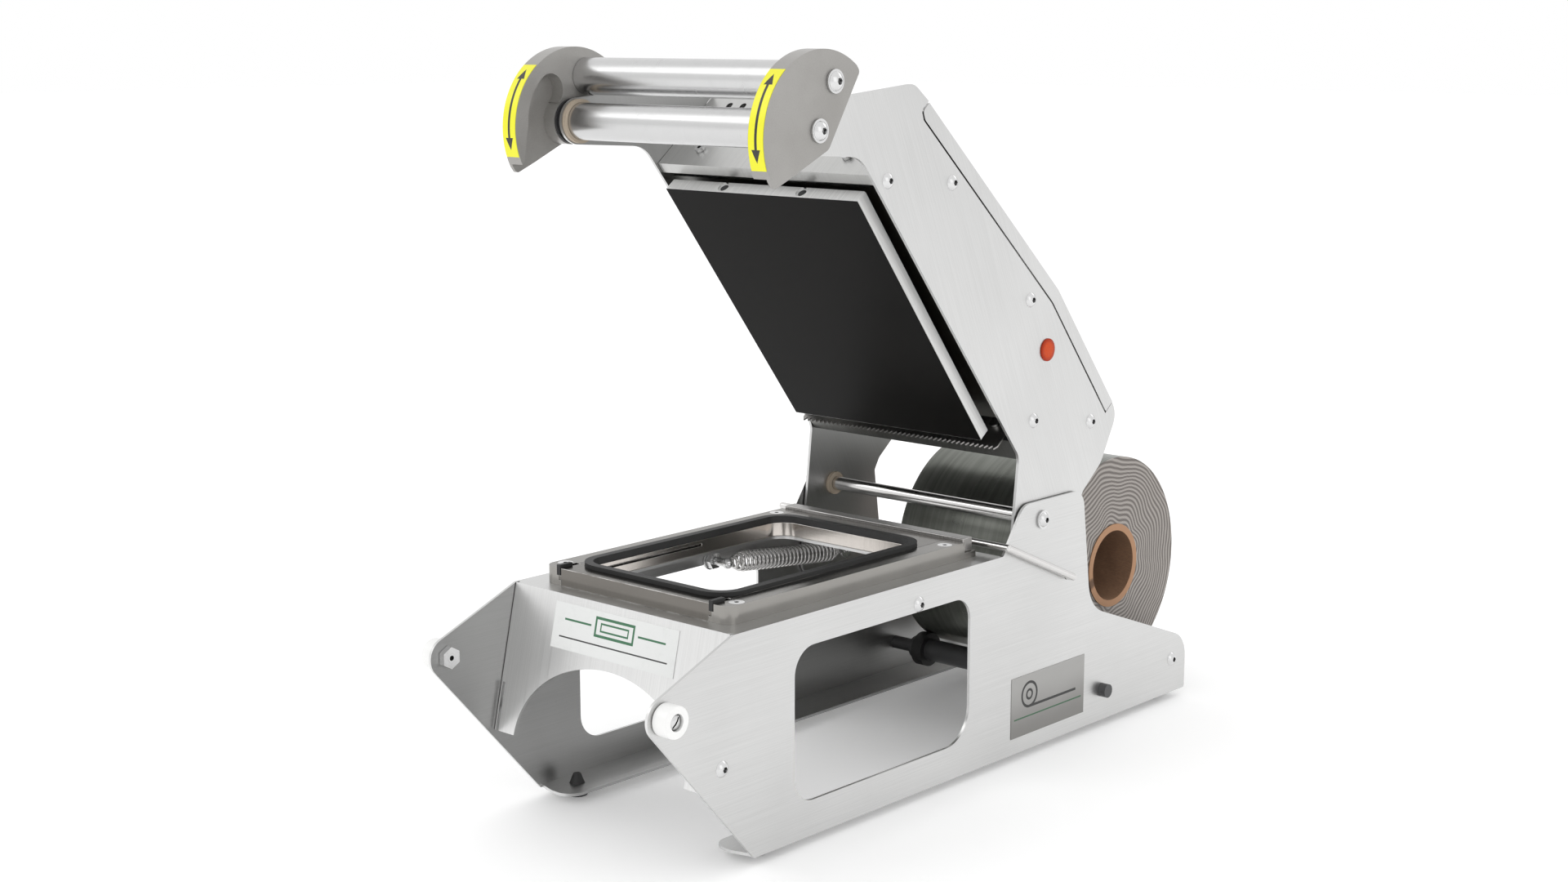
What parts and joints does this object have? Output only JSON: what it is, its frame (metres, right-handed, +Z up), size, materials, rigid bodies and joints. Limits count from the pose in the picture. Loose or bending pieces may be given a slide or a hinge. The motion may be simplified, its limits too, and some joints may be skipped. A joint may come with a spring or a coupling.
{
  "type": "manual tray sealing machine",
  "caption": "Table-top manual sealer: folded steel base with tray mould, hinged heated arm with latch handle, film roll on rollers.",
  "frame": {"origin": "on the table under the machine, on its symmetry plane, at the middle of its overall length", "axes": "+Z up; +Y from the operator's handle towards the film roll at the rear; +X towards the side panel with the label"},
  "size_m": [0.2342, 0.598, 0.493],
  "materials": {
    "brushed_sheet": "brushed satin sheet",
    "rubber_black": "matt moulded",
    "label_white": "smooth sticker",
    "label_grey": "satin grey sticker",
    "mould_aluminium": "machined satin",
    "bright_steel": "polished zinc",
    "polished_rod": "polished tube",
    "spring_steel": "bright wire",
    "blade_steel": "ground edge",
    "lamp_orange": "translucent lens",
    "black_plastic": "satin moulded",
    "bush_beige": "plain bearing plastic",
    "plate_aluminium": "brushed block",
    "nonstick_black": "coated glass cloth",
    "heater_mica": "mica and felt",
    "cheek_grey": "satin warm grey",
    "label_yellow": "vinyl sticker",
    "film_foil": "wound sealing film",
    "core_card": "wound card",
    "white_plastic": "turned acetal"
  },
  "bodies": {
    "base": {"base_chassis": "brushed_sheet", "rubber_feet": "rubber_black", "front_label": "label_white", "side_label": "label_grey", "tray_mould": "mould_aluminium", "mould_rail_left": "mould_aluminium", "mould_rail_right": "mould_aluminium", "seal_ring": "rubber_black", "seal_strips": "rubber_black", "mould_screws": "bright_steel", "mould_nuts": "bright_steel", "rear_cutting_bar": "mould_aluminium", "latch_roller_studs": "bright_steel", "latch_stud_nuts": "bright_steel", "panel_screws": "bright_steel", "panel_nuts": "bright_steel", "rear_support_rod": "polished_rod", "rear_rod_screws": "bright_steel", "hinge_rod": "polished_rod", "hinge_screws": "bright_steel", "hinge_washers": "bright_steel", "spring_front_bolt": "bright_steel"},
    "arm": {"arm_plate_left": "brushed_sheet", "arm_plate_right": "brushed_sheet", "arm_cover": "brushed_sheet", "arm_front_wall": "brushed_sheet", "front_wall_screws": "bright_steel", "heater_carrier": "brushed_sheet", "cross_plate": "brushed_sheet", "serrated_knife": "blade_steel", "knife_bolts": "bright_steel", "guide_pins": "bright_steel", "arm_screws": "bright_steel", "indicator_lamp": "lamp_orange", "temperature_regulator": "black_plastic", "hinge_bushes": "bush_beige", "handle_bushes": "bush_beige", "spring_rear_bolt": "bright_steel", "return_spring": "spring_steel"},
    "heating_plate_unit": {"heating_plate": "plate_aluminium", "nonstick_sheet": "nonstick_black", "plate_end_screws": "bright_steel", "heater_elements": "heater_mica", "insulation_pad": "heater_mica"},
    "handle": {"cheek_left": "cheek_grey", "cheek_right": "cheek_grey", "cheek_screws": "bright_steel", "cheek_washers": "bright_steel", "grip_tube": "polished_rod", "pivot_tube": "polished_rod", "tube_plugs": "cheek_grey", "pivot_spacers": "black_plastic", "arrow_labels": "label_yellow"},
    "film_roll_unit": {"film_roll": "film_foil", "film_core": "core_card"},
    "support_roller_unit": {"support_roller": "black_plastic", "support_roller_rings": "rubber_black"},
    "latch_roller_left_unit": {"latch_roller_left": "white_plastic"},
    "latch_roller_right_unit": {"latch_roller_right": "white_plastic"},
    "film_guide_unit": {"film_guide": "polished_rod"}
  },
  "joints": [
    {"name": "arm_hinge", "type": "hinge", "parent": "base", "child": "arm", "pos_m": [0, 0.0855, 0.1694], "axis": [1, 0, 0], "range_deg": [0, 52.1], "stiffness_Nm_per_rad": 9, "springref_deg": -74.48, "deforming": ["return_spring"]},
    {"name": "handle_pivot", "type": "hinge", "parent": "arm", "child": "handle", "pos_m": [0, -0.16811, 0.4457], "axis": [1, 0, 0], "range_deg": [0, 90]},
    {"name": "plate_float", "type": "slide", "parent": "arm", "child": "heating_plate_unit", "axis": [0, 0.7891, 0.6143], "range_m": [0, 0.004], "stiffness_N_per_m": 3000, "springref_m": -0.02},
    {"name": "film_roll_spin", "type": "hinge", "parent": "base", "child": "film_roll_unit", "pos_m": [0, 0.2165, 0.1085], "axis": [1, 0, 0], "continuous": true},
    {"name": "support_roller_spin", "type": "hinge", "parent": "base", "child": "support_roller_unit", "pos_m": [0, 0.1645, 0.029], "axis": [1, 0, 0], "continuous": true},
    {"name": "latch_roller_left_spin", "type": "hinge", "parent": "base", "child": "latch_roller_left_unit", "pos_m": [-0.1038, -0.2865, 0.1127], "axis": [1, 0, 0], "continuous": true},
    {"name": "latch_roller_right_spin", "type": "hinge", "parent": "base", "child": "latch_roller_right_unit", "pos_m": [0.1038, -0.2865, 0.1127], "axis": [1, 0, 0], "continuous": true},
    {"name": "film_guide_lift", "type": "hinge", "parent": "base", "child": "film_guide_unit", "pos_m": [0, 0.1169, 0.1234], "axis": [-1, 0, 0], "range_deg": [0, 5]}
  ],
  "couplings": [
    {"joint": "support_roller_spin", "follows": "film_roll_spin", "ratio": -6.3077}
  ]
}
